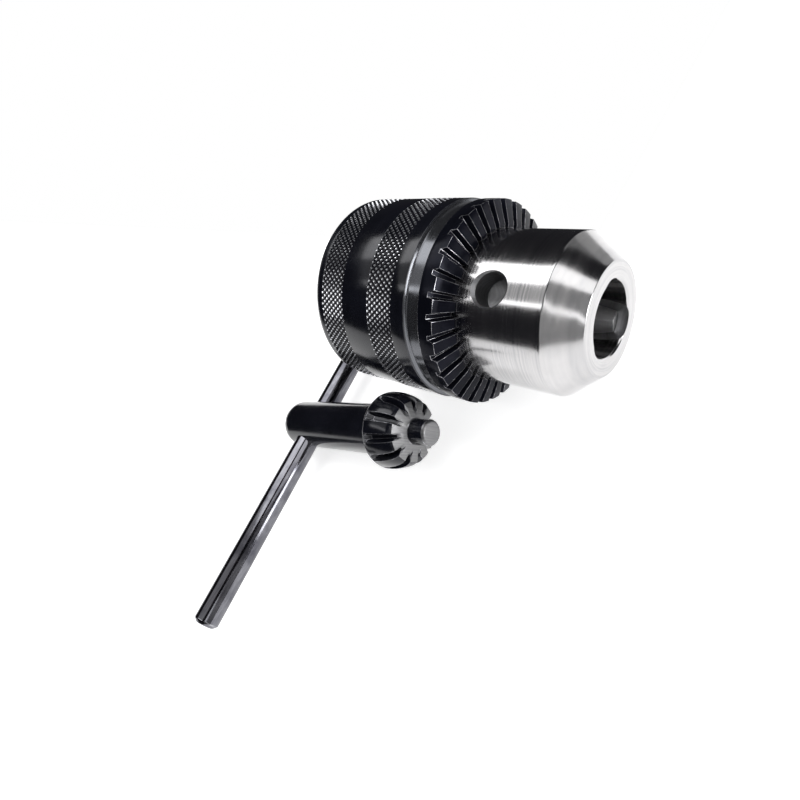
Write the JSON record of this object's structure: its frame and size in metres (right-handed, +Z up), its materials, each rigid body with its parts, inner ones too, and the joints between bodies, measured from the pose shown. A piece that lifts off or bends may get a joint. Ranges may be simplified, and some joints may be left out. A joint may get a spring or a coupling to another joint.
{
  "type": "keyed drill chuck",
  "caption": "Keyed drill chuck with a knurled sleeve, a toothed ring, self-centring jaws in a bright steel nose and a threaded spindle socket, lying with its toothed T-handle key.",
  "frame": {"origin": "centre of the mouth of the threaded spindle socket, in the middle of the body's back face", "axes": "+X along the chuck's axis towards the nose, +Z up from the floor that the chuck lies on, +Y to the side away from the key"},
  "size_m": [0.0814, 0.11, 0.0469],
  "materials": {
    "bright_steel": "fine turned and ground",
    "jaw_steel": "ground",
    "black_oxide": "semi-gloss black oxide",
    "nut_steel": "turned",
    "key_black": "semi-gloss black oxide",
    "handle_steel": "dark polished"
  },
  "bodies": {
    "chuck_body": {"chuck_body": "bright_steel"},
    "sleeve": {"knurled_sleeve": "black_oxide", "toothed_ring": "black_oxide", "nut_half_upper": "nut_steel", "nut_half_lower": "nut_steel"},
    "key": {"key_shank": "key_black", "key_handle": "handle_steel"},
    "jaw_1": {"jaw_1": "jaw_steel"},
    "jaw_2": {"jaw_2": "jaw_steel"},
    "jaw_3": {"jaw_3": "jaw_steel"}
  },
  "joints": [
    {"name": "sleeve_turn", "type": "hinge", "parent": "chuck_body", "child": "sleeve", "pos_m": [0.016, 0, 0], "axis": [-1, 0, 0], "range_deg": [0, 4570]},
    {"name": "jaw_1_slide", "type": "slide", "parent": "chuck_body", "child": "jaw_1", "axis": [0.9659, -0.1053, -0.2364], "range_m": [0, 0.02222]},
    {"name": "jaw_2_slide", "type": "slide", "parent": "chuck_body", "child": "jaw_2", "axis": [0.9659, 0.2574, 0.0271], "range_m": [0, 0.02222]},
    {"name": "jaw_3_slide", "type": "slide", "parent": "chuck_body", "child": "jaw_3", "axis": [0.9659, -0.1521, 0.2094], "range_m": [0, 0.02222]},
    {"name": "key_away", "type": "slide", "parent": "chuck_body", "child": "key", "axis": [0, -1, 0], "range_m": [0, 0.12]}
  ],
  "couplings": [
    {"joint": "jaw_1_slide", "follows": "sleeve_turn", "m_per_rad": 0.00027852},
    {"joint": "jaw_2_slide", "follows": "sleeve_turn", "m_per_rad": 0.00027852},
    {"joint": "jaw_3_slide", "follows": "sleeve_turn", "m_per_rad": 0.00027852}
  ]
}
